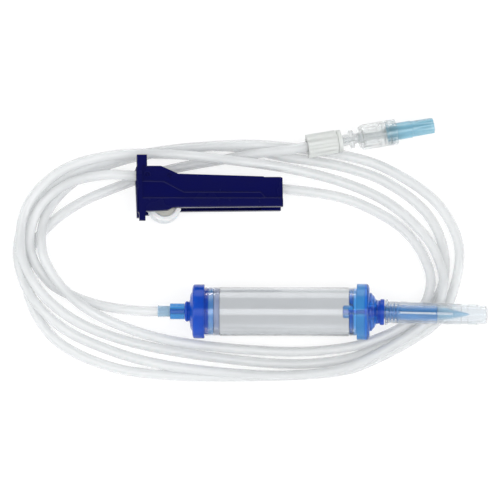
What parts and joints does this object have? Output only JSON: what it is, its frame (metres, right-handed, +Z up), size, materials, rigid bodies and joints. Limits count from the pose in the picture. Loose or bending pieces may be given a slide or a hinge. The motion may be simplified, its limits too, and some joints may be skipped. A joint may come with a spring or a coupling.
{
  "type": "iv infusion set",
  "caption": "Gravity IV infusion set lying in a loose oval coil: blue-capped clear drip chamber with sheathed spike, clear tubing, navy roller clamp and rotating luer lock with cap",
  "frame": {"origin": "on the table, under the middle of the drip chamber with its spike and sheath", "axes": "+X runs from the chamber's tubing outlet to its spike, +Y from the chamber across the coil to the clamp and the luer end, +Z up from the table"},
  "size_m": [0.1944, 0.1099, 0.0242],
  "materials": {
    "blue_cap": "moulded, semi-gloss",
    "filter_mesh": "fine mesh",
    "clear_barrel": "clear, smooth",
    "blue_tint_cap": "translucent, semi-gloss",
    "blue_spike": "translucent, semi-gloss",
    "frosted_sheath": "frosted, translucent",
    "clear_tubing": "soft, clear, glossy",
    "navy_clamp": "moulded, satin",
    "white_roller": "moulded, satin",
    "frosted_grip": "soft, frosted",
    "clear_luer": "clear, glossy",
    "pale_blue_cap": "translucent, semi-gloss"
  },
  "bodies": {
    "set": {"lower_cap": "blue_cap", "chamber_filter": "filter_mesh", "drip_chamber_barrel": "clear_barrel", "upper_cap": "blue_tint_cap", "drop_former": "blue_tint_cap", "spike": "blue_spike", "tubing_to_clamp": "clear_tubing", "tubing_in_clamp": "clear_tubing", "tubing_to_luer": "clear_tubing", "clamp_housing": "navy_clamp", "tube_grip": "frosted_grip", "luer_stem": "clear_luer"},
    "sheath": {"spike_sheath": "frosted_sheath"},
    "roller": {"clamp_roller": "white_roller"},
    "collar": {"lock_collar": "clear_luer"},
    "end_cap": {"luer_cap": "pale_blue_cap"}
  },
  "joints": [
    {"name": "sheath_pull", "type": "slide", "parent": "set", "child": "sheath", "axis": [0.9992, -0.0314, 0.0227], "range_m": [0, 0.04]},
    {"name": "roller_travel", "type": "slide", "parent": "set", "child": "roller", "axis": [0.995, 0.0268, -0.0958], "range_m": [0, 0.039], "deforming": ["tubing_in_clamp"]},
    {"name": "collar_spin", "type": "hinge", "parent": "set", "child": "collar", "pos_m": [0.02246, 0.07464, 0.00645], "axis": [0.9765, 0.1863, -0.108], "continuous": true},
    {"name": "end_cap_pull", "type": "slide", "parent": "set", "child": "end_cap", "axis": [0.9765, 0.1863, -0.108], "range_m": [0, 0.007]}
  ]
}
